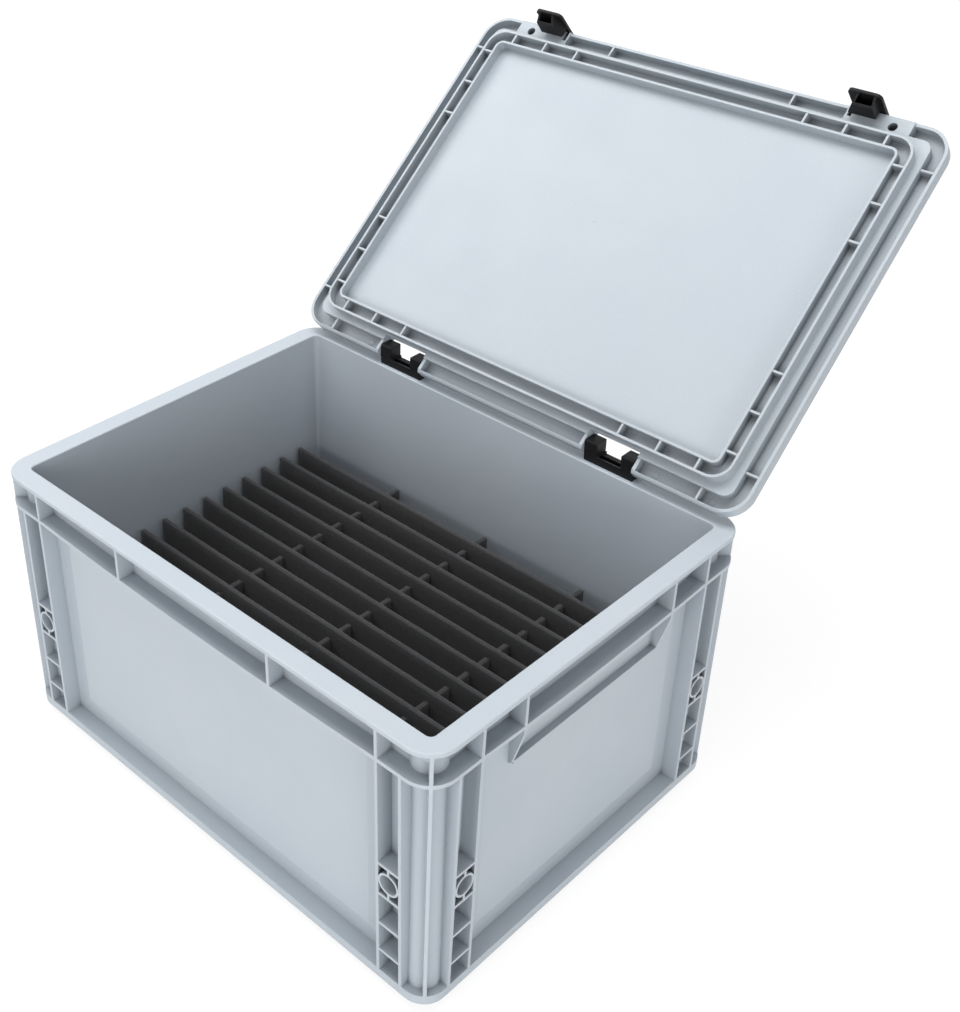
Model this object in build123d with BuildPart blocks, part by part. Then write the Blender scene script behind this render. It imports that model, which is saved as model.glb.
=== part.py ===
from build123d import *
from math import cos, radians, sin, tan
import os

os.makedirs("parts", exist_ok=True)

# Lengths are in millimetres and angles in degrees. The origin is on the floor under the
# middle of the box, +X runs along its length, +Y towards the hinged side and +Z up.

# --- container body -------------------------------------------------------------------
length = 400.0              # outer size of the rim along X
width = 300.0               # outer size of the rim along Y
side_height = 201.0         # underside of the base flange to the top of the rim
corner_radius = 20.0
draft_angle = 1.0           # the sides lean in towards the base
wall = 2.8
wall_setback = 11.7         # outer face of the wall behind the rim's edge
floor_corner_radius = 0.5   # of the cavity, at the floor
floor_thickness = 3.0
rim_thickness = 3.0
rim_rounding = 1.0
lower_flange_drop = 22.7    # top of the rim to the top of the lower flange
lower_flange_thickness = 2.8
lower_flange_sag_long = 3.7
lower_flange_sag_short = 2.7
base_flange_height = 6.9
rib_thickness = 2.3
inner_rib_long = 71.0       # rib centres from the middle of a long side
inner_rib_short = 71.3      # and from the middle of a short side
ladder_from_corner = 42.0   # the two uprights of each ladder, from the corner
ladder_width = 18.0
rung_thickness = 2.0
rung_tops = (26.0, 49.3, 74.0, 98.5)    # above the underside of the base flange
boss_radius = 8.0
boss_wall = 1.5
boss_web = 1.6
post_radius = 11.0
strip_height = 7.5          # thicker band of wall just under the rim
strip_depth = 3.5
strip_gap = 11.0
pad_rise = 1.6              # raised field in the middle of each side panel
pad_slope = 15.0
pad_margin = 1.0

# --- stacking foot under the base -------------------------------------------------------
foot_height = 6.0
foot_inset = 15.5           # outside of the foot behind the rim's edge
foot_wall = 8.0
foot_radius = 8.0
foot_rib = 3.0
foot_cell_count = 4         # each way

# --- finger grip on each short side -----------------------------------------------------
grip_back = 13.2            # wall of the grip behind the rim's edge
grip_shelf = 2.3            # shelf between the feet of the two cheeks
cheek_shoulder_drop = 28.8
cheek_foot_drop = 57.6
cheek_heel_drop = 59.9
cheek_foot_reach = 8.6      # lower outer corner of the cheek behind the rim's edge

# --- lid --------------------------------------------------------------------------------
open_angle = 138.5          # from closed to resting on its stops
hinge_setback = 6.1         # hinge axis inside the rim's edge
hinge_rise = 8.8            # and above the rim
lid_rise = 11.6             # rim to the top of the closed lid
lid_wall = 2.2
lid_top_wall = 3.0
lid_top_rounding = 1.8
skirt_gap = 1.2             # closed lid: rim to the skirt's edge
ledge_inset = 11.2
ledge_wall = 2.5
ledge_radius = 8.0
panel_thickness = 2.6
ridge_inset = 16.4          # outer face of the outer locating ridge
ridge_spacing = 9.8
ridge_thickness = 1.8
ridge_height = 8.5
outer_ridge_radius = 15.0
inner_ridge_radius = 6.0
web_thickness = 1.6
web_setback = 0.4
lid_web_pitch = 30.5        # three webs in a row near each corner, between the ridges
lid_web_first_long = 100.0
lid_web_first_short = 51.0
lid_web_count = 3
front_web = 79.0            # single webs in the outer channel, from the middle
rear_web = 168.0
end_web = 118.0
swing_clearance = 0.5
ejector_mark_places = (132.0, 176.0)    # from the middle, along the rear channel
ejector_mark_radius = 2.2
ejector_mark_height = 0.2
gate_mark_radius = 1.3
gate_mark_x = -10.0
gate_mark_y = -8.0

# --- hinges -----------------------------------------------------------------------------
hinge_spacing = 194.0       # centre to centre
hinge_width = 40.5
hinge_height = 16.0
hinge_depth = 11.4
hinge_window = 20.0
hinge_bar = 6.0
hinge_rounding = 0.9
hinge_bar_lip = 1.3
hinge_trough = 4.0
hinge_trough_depth = 3.5
hinge_side_clearance = 0.5
hinge_stop_reach = 9.1       # hinge axis to the wall at the inner end of the lid's notch
hinge_stop_clearance = 0.1
notch_wall = 2.0
stop_lug = 1.5
cheek_thickness = 2.5
trunnion_radius = 2.1
trunnion_depth = 1.4        # into each cheek
trunnion_end_clearance = 0.2
running_clearance = 0.08
hinge_leg_width = 6.0
hinge_leg_thickness = 2.6
hinge_leg_spacing = 24.0
hinge_barb = 1.2
hinge_barb_height = 2.0
slot_clearance = 0.2

# --- snap catches on the front edge of the lid --------------------------------------------
catch_inset = 64.25         # middle of the catch from the end of the lid
catch_width = 25.0
catch_flap = 2.1
catch_gap = 0.5             # flap in front of the rim's edge
catch_reach = 20.5          # below the rim when latched
catch_corner = 4.0
catch_axis_inset = 2.5
catch_axis_rise = 7.5
catch_barrel = 2.6
catch_pivot = 1.5
catch_pivot_depth = 1.1     # into the lid on each side
catch_side_clearance = 0.5
catch_notch_gap = 0.5
catch_notch_rise = 3.5      # floor of the notch above the rim
catch_arm = 1.7             # plate at the inner end of the catch
catch_arm_reach = 3.5       # behind the pivot axis
catch_arm_drop = 7.0        # below the pivot axis
catch_arm_corner = 1.5
catch_arm_rise = 2.0
hook_clearance = 0.4        # under the rim
hook_lip = 7.4              # behind the rim's edge, at the hook's catching face
hook_nose = 6.8             # and at its nose
hook_height = 11.4          # catching face to the nose
hook_tip_margin = 1.2       # end of the gussets to the tip of the flap
hook_wall = 1.5
hook_outer_margin = 3.5     # end of the flap to the end of the hook
hook_inner_margin = 1.2
hook_inner_taper = 7.0      # the hook gets narrower towards its nose on the inner side
pad_margin_inner = 2.3      # solid pads that carry the catches, past the catch
pad_margin_outer = 21.7
seal_hole_offset = 21.0     # from the middle of the catch
seal_hole_inset = 7.6
seal_hole_radius = 3.3
seal_hole_depth = 10.2
slot_clearance_side = 0.6
slot_length = 8.0

# --- phone insert -------------------------------------------------------------------------
pad_thickness = 5.0
insert_clearance = 1.0
board = 4.0
board_radius = 3.0
row_pitch = 20.0
row_board_count = 12
row_board_height = 100.0
column_pitch = 90.5
column_board_height = 92.0
lap_clearance = 0.25

# --- derived positions --------------------------------------------------------------------
rim_z = foot_height + side_height
floor_z = foot_height + floor_thickness
lower_flange_z = rim_z - lower_flange_drop
base_flange_z = foot_height + base_flange_height
tub_length = length - 2 * wall_setback
tub_width = width - 2 * wall_setback
strip_top_z = rim_z - rim_thickness
ladder_long = length / 2 - ladder_from_corner
ladder_short = width / 2 - ladder_from_corner
inner_corner_radius = floor_corner_radius + (side_height - floor_thickness) * tan(radians(draft_angle))
ladder_mid_long = ladder_long + ladder_width / 2
ladder_mid_short = ladder_short + ladder_width / 2
post_x = length / 2 - corner_radius
post_y = width / 2 - corner_radius
cavity_length = tub_length - 2 * wall
cavity_width = tub_width - 2 * wall

hinge_y = width / 2 - hinge_setback
hinge_z = rim_z + hinge_rise
lid_cos = cos(radians(open_angle))
lid_sin = sin(radians(open_angle))
lid_origin = (
    0,
    hinge_y - hinge_y * lid_cos - hinge_rise * lid_sin,
    hinge_z + hinge_y * lid_sin - hinge_rise * lid_cos,
)
lid_normal = (0, lid_sin, lid_cos)
lid_forward = (0, lid_cos, -lid_sin)
lid_axis = Axis(lid_origin, lid_normal)
channel_depth = lid_rise - lid_top_wall - skirt_gap
hinge_x = hinge_spacing / 2
notch_half = hinge_width / 2 + hinge_side_clearance
catch_x = length / 2 - catch_inset
catch_axis_y = -width / 2 + catch_axis_inset
pad_start = catch_x - catch_width / 2 - pad_margin_inner
pad_end = catch_x + catch_width / 2 + pad_margin_outer


def draft_inset(z):
    """How far the drafted side has leaned in at height z."""
    return (rim_z - z) * tan(radians(draft_angle))


def lid_plane(height):
    """Plane across the open lid; height counts up from the rim of the closed box."""
    return Plane(origin=lid_origin, x_dir=(1, 0, 0), z_dir=lid_normal).offset(height)


def lid_section(x):
    """Section plane of the open lid: local X is the closed lid's Y, local Y its height."""
    origin = (x, lid_origin[1], lid_origin[2])
    return Plane(origin=origin, x_dir=lid_forward, z_dir=(1, 0, 0))


def lid_elevation(y):
    """Upright plane of the open lid: local X is X, local Y the height over the rim."""
    origin = (0, lid_origin[1] + lid_cos * y, lid_origin[2] - lid_sin * y)
    return Plane(origin=origin, x_dir=(1, 0, 0), z_dir=(0, -lid_cos, lid_sin))


def frame_sketch(inset, thickness, radius):
    """Rounded rectangular frame that lies inset from the outline of the lid."""
    RectangleRounded(length - 2 * inset, width - 2 * inset, radius)
    inner = inset + thickness
    RectangleRounded(
        length - 2 * inner, width - 2 * inner, max(radius - thickness, 1), mode=Mode.SUBTRACT
    )


def sagging_band(half_length, straight_from, sag):
    """Side view of the lower flange: level at both ends, hanging down in the middle."""
    top = lower_flange_z
    bottom = lower_flange_z - lower_flange_thickness
    with BuildSketch(Plane.XY) as band:
        with BuildLine():
            Line((-half_length, bottom), (-half_length, top))
            Line((-half_length, top), (-straight_from, top))
            ThreePointArc((-straight_from, top), (0, top - sag), (straight_from, top))
            Line((straight_from, top), (half_length, top))
            Line((half_length, top), (half_length, bottom))
            Line((half_length, bottom), (straight_from, bottom))
            ThreePointArc((straight_from, bottom), (0, bottom - sag), (-straight_from, bottom))
            Line((-straight_from, bottom), (-half_length, bottom))
        make_face()
    return band.sketch_local


def boss_sketch(centre, z_low, z_high):
    """Ring boss between two rungs, with its webs, seen from the side."""
    middle = (z_low + z_high) / 2
    for sign in (-1, 1):
        with Locations((sign * centre, middle)):
            Rectangle(boss_web, z_high - z_low)
            Circle(boss_radius)
            Circle(boss_radius - boss_wall, mode=Mode.SUBTRACT)


def raised_field(across, z_low, z_high, face, x_dir, outward):
    """Shallow raised field on a drafted side panel, loft between two rectangles."""
    z_mid = (z_low + z_high) / 2
    lean = sin(radians(draft_angle))
    reach = face - draft_inset(z_mid)
    origin = (outward[0] * reach, outward[1] * reach, z_mid)
    normal = (outward[0], outward[1], -lean)
    plane = Plane(origin=origin, x_dir=x_dir, z_dir=normal)
    height = z_high - z_low
    with BuildPart() as field:
        with BuildSketch(plane.offset(-wall / 4)):
            Rectangle(across, height)
        with BuildSketch(plane.offset(pad_rise)):
            with Locations((0, (pad_slope - pad_margin) / 2)):
                Rectangle(across - 2 * pad_slope, height - pad_slope - pad_margin)
        loft()
    return field.part


# ==================================================================== container body
with BuildPart() as box_body:
    # The tub starts as a drafted block; its cavity is cut at the end.
    with BuildSketch(Plane.XY.offset(rim_z)):
        RectangleRounded(tub_length, tub_width, inner_corner_radius + wall)
    extrude(amount=-side_height, taper=draft_angle)

    # Rim flange and base flange.
    with BuildSketch(Plane.XY.offset(rim_z)):
        Rectangle(length, width)
    extrude(amount=-rim_thickness)
    with BuildSketch(Plane.XY.offset(foot_height)):
        Rectangle(length, width)
    extrude(amount=base_flange_height)

    # Lower flange, one band along each side.
    for plane in (Plane.XZ.offset(width / 2), Plane.XZ.offset(wall_setback + wall - width / 2)):
        with BuildSketch(plane):
            add(sagging_band(length / 2, ladder_long, lower_flange_sag_long))
        extrude(amount=-wall_setback - wall)
    for plane in (Plane.YZ.offset(length / 2), Plane.YZ.offset(wall_setback + wall - length / 2)):
        with BuildSketch(plane):
            add(sagging_band(width / 2, ladder_short, lower_flange_sag_short))
        extrude(amount=-wall_setback - wall)

    # Ribs between the rim and the lower flange.
    rib_start = lower_flange_z - lower_flange_sag_long
    with BuildSketch(Plane.XY.offset(rib_start)):
        for sign in (-1, 1):
            with Locations((sign * inner_rib_long, 0)):
                Rectangle(rib_thickness, width)
            with Locations((0, sign * inner_rib_short)):
                Rectangle(length, rib_thickness)
    extrude(amount=strip_top_z - rib_start)

    # Outer upright of each ladder and the diagonal rib of each corner run full height.
    with BuildSketch(Plane.XY.offset(foot_height)):
        for sign in (-1, 1):
            with Locations((sign * ladder_long, 0)):
                Rectangle(rib_thickness, width)
            with Locations((0, sign * ladder_short)):
                Rectangle(length, rib_thickness)
            for side in (-1, 1):
                with Locations((sign * post_x, side * post_y)):
                    Rectangle(3 * corner_radius, rib_thickness, rotation=45 * sign * side)
                    Circle(post_radius)
    extrude(amount=strip_top_z - foot_height)

    # Inner uprights and rungs of the ladders stop at the lower flange.
    with BuildSketch(Plane.XY.offset(foot_height)):
        for sign in (-1, 1):
            with Locations((sign * (ladder_long + ladder_width), 0)):
                Rectangle(rib_thickness, width)
            with Locations((0, sign * (ladder_short + ladder_width))):
                Rectangle(length, rib_thickness)
    extrude(amount=lower_flange_z - foot_height)
    for top in rung_tops:
        with BuildSketch(Plane.XY.offset(foot_height + top)):
            for sign in (-1, 1):
                with Locations((sign * ladder_mid_long, 0)):
                    Rectangle(ladder_width, width)
                with Locations((0, sign * ladder_mid_short)):
                    Rectangle(length, ladder_width)
        extrude(amount=-rung_thickness)

    # Ring bosses in the bay between the two highest rungs.
    boss_low = foot_height + rung_tops[-2]
    boss_high = foot_height + rung_tops[-1] - rung_thickness
    with BuildSketch(Plane.XZ):
        boss_sketch(ladder_mid_long, boss_low, boss_high)
    extrude(amount=width / 2, both=True)
    with BuildSketch(Plane.YZ):
        boss_sketch(ladder_mid_short, boss_low, boss_high)
    extrude(amount=length / 2, both=True)

    # Thicker band of wall under the rim, broken by a gap outside each rib.
    band_length = tub_length + 2 * strip_depth
    band_width = tub_width + 2 * strip_depth
    with BuildSketch(Plane.XY.offset(strip_top_z)):
        Rectangle(2 * inner_rib_long, band_width)
        Rectangle(band_length, 2 * inner_rib_short)
        for start, end in (
            (inner_rib_long + strip_gap, ladder_long),
            (ladder_long + strip_gap, band_length / 2),
        ):
            for sign in (-1, 1):
                with Locations((sign * (start + end) / 2, 0)):
                    Rectangle(end - start, band_width)
        for start, end in (
            (inner_rib_short + strip_gap, ladder_short),
            (ladder_short + strip_gap, band_width / 2),
        ):
            for sign in (-1, 1):
                with Locations((0, sign * (start + end) / 2)):
                    Rectangle(band_length, end - start)
    extrude(amount=-strip_height)

    # Finger grip on each short side: two cheeks under the lower flange.
    cheek_top = lower_flange_z - lower_flange_thickness / 2
    cheek_foot = length / 2 - cheek_foot_reach
    for sign in (-1, 1):
        root = length / 2 - wall_setback - wall
        cheek = (
            (sign * root, cheek_top),
            (sign * length / 2, cheek_top),
            (sign * length / 2, rim_z - cheek_shoulder_drop),
            (sign * cheek_foot, rim_z - cheek_foot_drop),
            (sign * root, rim_z - cheek_heel_drop),
        )
        for side in (-1, 1):
            with BuildSketch(Plane.XZ.offset(side * inner_rib_short)):
                with BuildLine():
                    Polyline(*cheek, close=True)
                make_face()
            extrude(amount=rib_thickness / 2, both=True)

    # The drafted outer envelope trims every flange and rib to the same outline.
    with BuildSketch(Plane.XY.offset(rim_z)):
        RectangleRounded(length, width, corner_radius)
    extrude(amount=-side_height, taper=draft_angle, mode=Mode.INTERSECT)

    # Raised fields of the four side panels.
    panel_low = base_flange_z + pad_margin
    long_across = 2 * ladder_long - rib_thickness - 2 * pad_margin
    short_across = 2 * ladder_short - rib_thickness - 2 * pad_margin
    long_high = lower_flange_z - lower_flange_sag_long - lower_flange_thickness
    short_high = lower_flange_z - lower_flange_sag_short - lower_flange_thickness
    for sign in (-1, 1):
        field_x = (-sign, 0, 0)
        add(raised_field(long_across, panel_low, long_high, tub_width / 2, field_x, (0, sign)))
        field_x = (0, sign, 0)
        add(raised_field(short_across, panel_low, short_high, tub_length / 2, field_x, (sign, 0)))

    # Each grip is flat behind, with a shelf between the feet of its cheeks.
    shelf_z = rim_z - cheek_foot_drop
    grip_wall = length / 2 - grip_back
    grip_span = 2 * inner_rib_short - rib_thickness
    with BuildSketch(Plane.XY.offset(shelf_z)):
        for sign in (-1, 1):
            with Locations((sign * (grip_wall + cheek_foot) / 2, 0)):
                Rectangle(cheek_foot - grip_wall, grip_span)
    extrude(amount=-grip_shelf)
    with BuildSketch(Plane.XY.offset(shelf_z)):
        for sign in (-1, 1):
            with Locations((sign * (grip_wall + length / 2) / 2, 0)):
                Rectangle(length / 2 - grip_wall, grip_span)
    extrude(amount=short_high - shelf_z, mode=Mode.SUBTRACT)

    # Cavity.
    with BuildSketch(Plane.XY.offset(rim_z)):
        RectangleRounded(cavity_length, cavity_width, inner_corner_radius)
    extrude(amount=floor_z - rim_z, taper=draft_angle, mode=Mode.SUBTRACT)

    # Rounded edges of the rim.
    fillet(box_body.edges().group_by(Axis.Z)[-1], radius=rim_rounding)

    # Stacking foot with its ribs.
    foot_length = length - 2 * foot_inset
    foot_width = width - 2 * foot_inset
    with BuildSketch():
        RectangleRounded(foot_length, foot_width, foot_radius)
        Rectangle(foot_length - 2 * foot_wall, foot_width - 2 * foot_wall, mode=Mode.SUBTRACT)
        with GridLocations(foot_length / foot_cell_count, 1, foot_cell_count - 1, 1):
            Rectangle(foot_rib, foot_width - foot_wall)
        with GridLocations(1, foot_width / foot_cell_count, 1, foot_cell_count - 1):
            Rectangle(foot_length - foot_wall, foot_rib)
    extrude(amount=foot_height)

    # Slots in the rim for the legs of the hinges.
    with BuildSketch(Plane.XY.offset(rim_z)):
        for sign in (-1, 1):
            with Locations((sign * hinge_x, hinge_y)):
                with GridLocations(hinge_leg_spacing, 1, 2, 1):
                    Rectangle(
                        hinge_leg_width + 2 * slot_clearance,
                        hinge_leg_thickness + 2 * slot_clearance + hinge_barb,
                    )
    extrude(amount=-rim_thickness, mode=Mode.SUBTRACT)
box_body.part.label = "box_body"
export_step(box_body.part, "parts/box_body.step")


# ==================================================================== lid
with BuildPart() as lid:
    # Shell: outer block, channel behind the skirt, ledge that rests on the rim.
    with BuildSketch(lid_plane(skirt_gap)):
        RectangleRounded(length, width, corner_radius)
    extrude(amount=lid_rise - skirt_gap)
    fillet(lid.edges().group_by(lid_axis)[-1], radius=lid_top_rounding)
    with BuildSketch(lid_plane(skirt_gap)):
        frame_sketch(lid_wall, ledge_inset - lid_wall, corner_radius - lid_wall)
    extrude(amount=channel_depth, mode=Mode.SUBTRACT)
    with BuildSketch(lid_plane(0)):
        RectangleRounded(length - 2 * ledge_inset, width - 2 * ledge_inset, ledge_radius)
    extrude(amount=skirt_gap + lid_top_wall)
    recess_inset = ledge_inset + ledge_wall
    with BuildSketch(lid_plane(panel_thickness)):
        RectangleRounded(
            length - 2 * recess_inset, width - 2 * recess_inset, ledge_radius - ledge_wall
        )
    extrude(amount=lid_rise, mode=Mode.SUBTRACT)

    # Two locating ridges that drop into the box, and the webs between them.
    with BuildSketch(lid_plane(0)):
        frame_sketch(ridge_inset, ridge_thickness, outer_ridge_radius)
        frame_sketch(ridge_inset + ridge_spacing, ridge_thickness, inner_ridge_radius)
    extrude(amount=-ridge_height)
    web_middle = ridge_inset + (ridge_spacing + ridge_thickness) / 2
    with BuildSketch(lid_plane(0)):
        for index in range(lid_web_count):
            along_x = lid_web_first_long + index * lid_web_pitch
            along_y = lid_web_first_short + index * lid_web_pitch
            with GridLocations(2 * along_x, width - 2 * web_middle, 2, 2):
                Rectangle(web_thickness, ridge_spacing)
            with GridLocations(length - 2 * web_middle, 2 * along_y, 2, 2):
                Rectangle(ridge_spacing, web_thickness)
    extrude(amount=web_setback - ridge_height)

    # Single webs across the outer channel, and the cheeks beside the hinges.
    channel_middle = (lid_wall + ledge_inset) / 2
    channel_width = ledge_inset - lid_wall + 1
    with BuildSketch(lid_plane(skirt_gap)):
        for sign in (-1, 1):
            with Locations((sign * front_web, channel_middle - width / 2)):
                Rectangle(web_thickness, channel_width)
            with Locations((sign * rear_web, width / 2 - channel_middle)):
                Rectangle(web_thickness, channel_width)
            for side in (-1, 1):
                with Locations((side * (length / 2 - channel_middle), sign * end_web)):
                    Rectangle(channel_width, web_thickness)
    extrude(amount=channel_depth)
    notch_inner = hinge_y - hinge_stop_reach
    notch_depth = width / 2 - notch_inner + notch_wall
    with BuildSketch(lid_plane(skirt_gap)):
        for sign in (-1, 1):
            with Locations((sign * hinge_x, (width - notch_depth) / 2)):
                Rectangle(2 * (notch_half + cheek_thickness), notch_depth)
    extrude(amount=lid_rise - skirt_gap - lid_top_rounding)

    # Solid pads that carry the catches.
    with BuildSketch(lid_plane(0)):
        for sign in (-1, 1):
            with Locations((sign * (pad_start + pad_end) / 2, (ledge_inset - width) / 2)):
                Rectangle(pad_end - pad_start, ledge_inset)
    extrude(amount=lid_rise - lid_top_rounding)

    # Notches for the hinges, and a slot for the arm of each catch.
    with BuildSketch(lid_plane(-ridge_height)):
        for sign in (-1, 1):
            with Locations((sign * hinge_x, (notch_inner + width / 2) / 2)):
                Rectangle(2 * notch_half, width / 2 - notch_inner)
            slot_x = catch_x - (catch_width - catch_arm) / 2
            with Locations((sign * slot_x, (slot_length - width) / 2)):
                Rectangle(catch_arm + 2 * slot_clearance_side, slot_length)
    extrude(amount=ridge_height + lid_rise, mode=Mode.SUBTRACT)

    # Between its two stop lugs the wall behind each hinge notch is open above the panel.
    with BuildSketch(lid_plane(panel_thickness)):
        for sign in (-1, 1):
            with Locations((sign * hinge_x, notch_inner - notch_wall / 2)):
                Rectangle(2 * (notch_half - stop_lug), notch_wall)
    extrude(amount=lid_rise, mode=Mode.SUBTRACT)

    # Blind seal holes beside the catches.
    with BuildSketch(lid_plane(0)):
        for sign in (-1, 1):
            with Locations((sign * (catch_x + seal_hole_offset), seal_hole_inset - width / 2)):
                Circle(seal_hole_radius)
    extrude(amount=seal_hole_depth, mode=Mode.SUBTRACT)

    # Notches for the barrels of the catches, open at the top of the lid.
    barrel_notch_depth = catch_axis_inset + catch_barrel + catch_notch_gap
    with BuildSketch(lid_plane(catch_notch_rise)):
        for sign in (-1, 1):
            with Locations((sign * catch_x, (barrel_notch_depth - width) / 2)):
                Rectangle(catch_width + 2 * catch_side_clearance, barrel_notch_depth)
    extrude(amount=lid_rise, mode=Mode.SUBTRACT)

    # Blind pivot bores beside the hinges and the catches.
    trunnion_bore = notch_half + trunnion_depth + trunnion_end_clearance
    for sign in (-1, 1):
        with BuildSketch(lid_section(sign * hinge_x)):
            with Locations((hinge_y, hinge_rise)):
                Circle(trunnion_radius + running_clearance)
        extrude(amount=trunnion_bore, both=True, mode=Mode.SUBTRACT)
        pivot_bore = catch_width / 2 + catch_side_clearance + catch_pivot_depth
        with BuildSketch(lid_section(sign * catch_x)):
            with Locations((catch_axis_y, catch_axis_rise)):
                Circle(catch_pivot + running_clearance)
        extrude(amount=pivot_bore + trunnion_end_clearance, both=True, mode=Mode.SUBTRACT)

    # Ejector marks in the rear channel and the gate mark on the panel.
    with BuildSketch(lid_plane(skirt_gap + channel_depth)):
        for sign in (-1, 1):
            for mark_x in ejector_mark_places:
                with Locations((sign * mark_x, width / 2 - channel_middle)):
                    Circle(ejector_mark_radius)
    extrude(amount=-ejector_mark_height)
    with BuildSketch(lid_plane(0)):
        with Locations((gate_mark_x, gate_mark_y)):
            Circle(gate_mark_radius)
    extrude(amount=-ejector_mark_height)

    # The rear edge is rounded about the hinge axis so that it swings clear of the rim.
    with BuildSketch(lid_section(-length / 2)):
        with Locations((hinge_y + hinge_setback, hinge_rise / 2 - skirt_gap)):
            Rectangle(2 * hinge_setback, hinge_rise + 2 * skirt_gap)
        with Locations((hinge_y, hinge_rise)):
            Circle(hinge_rise - swing_clearance, mode=Mode.SUBTRACT)
    extrude(amount=length, mode=Mode.SUBTRACT)
lid.part.label = "lid"
export_step(lid.part, "parts/lid.step")


# ==================================================================== hinges
for sign, name in ((-1, "hinge_left"), (1, "hinge_right")):
    with BuildPart() as hinge:
        front_y = width / 2 - hinge_depth
        with BuildSketch(Plane.XZ.offset(-front_y)):
            with Locations((sign * hinge_x, rim_z + hinge_height / 2)):
                Rectangle(hinge_width, hinge_height)
            with Locations((sign * hinge_x, rim_z + hinge_bar + hinge_height / 2)):
                Rectangle(hinge_window, hinge_height, mode=Mode.SUBTRACT)
        extrude(amount=-hinge_depth)
        # Rounded top edges along X, and rounded outer top corners.
        fillet(hinge.edges().filter_by(Axis.X).group_by(Axis.Z)[-1], radius=hinge_rounding)
        fillet(hinge.edges().filter_by(Axis.Z), radius=hinge_rounding / 2)
        # Trough in the top of the bar.
        with BuildSketch(Plane.XY.offset(rim_z + hinge_bar)):
            trough_start = front_y + hinge_bar_lip
            with Locations((sign * hinge_x, trough_start + hinge_trough / 2)):
                Rectangle(hinge_window - 2 * hinge_rounding, hinge_trough)
        extrude(amount=-hinge_trough_depth, mode=Mode.SUBTRACT)
        with BuildSketch(Plane.XY.offset(rim_z + hinge_bar)):
            shelf_start = trough_start + hinge_trough + hinge_bar_lip
            with Locations((sign * hinge_x, (shelf_start + width / 2) / 2)):
                Rectangle(hinge_window - 2 * hinge_rounding, width / 2 - shelf_start)
        extrude(amount=-hinge_trough_depth / 2, mode=Mode.SUBTRACT)
        # The back of the block is rounded about the hinge axis: the open lid rests on it.
        with BuildSketch(Plane.YZ.offset(sign * hinge_x - hinge_width / 2)):
            with Locations((hinge_y + hinge_stop_reach / 2, hinge_z + hinge_stop_reach / 2)):
                Rectangle(hinge_stop_reach, hinge_stop_reach)
            with Locations((hinge_y, hinge_z)):
                Circle(hinge_stop_reach - hinge_stop_clearance, mode=Mode.SUBTRACT)
        extrude(amount=hinge_width, mode=Mode.SUBTRACT)
        # Trunnions on both sides.
        trunnion_length = hinge_side_clearance + trunnion_depth
        for side in (-1, 1):
            with BuildSketch(Plane.YZ.offset(sign * hinge_x + side * hinge_width / 2)):
                with Locations((hinge_y, hinge_z)):
                    Circle(trunnion_radius)
            extrude(amount=side * trunnion_length)
        # Legs through the rim, each with a barb underneath.
        barb_z = rim_z - rim_thickness - slot_clearance
        for side in (-1, 1):
            leg_x = sign * hinge_x + side * hinge_leg_spacing / 2
            with BuildSketch(Plane.XY.offset(rim_z)):
                with Locations((leg_x, hinge_y)):
                    Rectangle(hinge_leg_width, hinge_leg_thickness)
            extrude(amount=barb_z - hinge_barb_height - rim_z)
            leg_face = hinge_y + hinge_leg_thickness / 2
            with BuildSketch(Plane.YZ.offset(leg_x)):
                with BuildLine():
                    Polyline(
                        (leg_face, barb_z),
                        (leg_face + hinge_barb, barb_z),
                        (leg_face, barb_z - hinge_barb_height),
                        close=True,
                    )
                make_face()
            extrude(amount=hinge_leg_width / 2, both=True)
    hinge.part.label = name
    export_step(hinge.part, f"parts/{name}.step")


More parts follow.
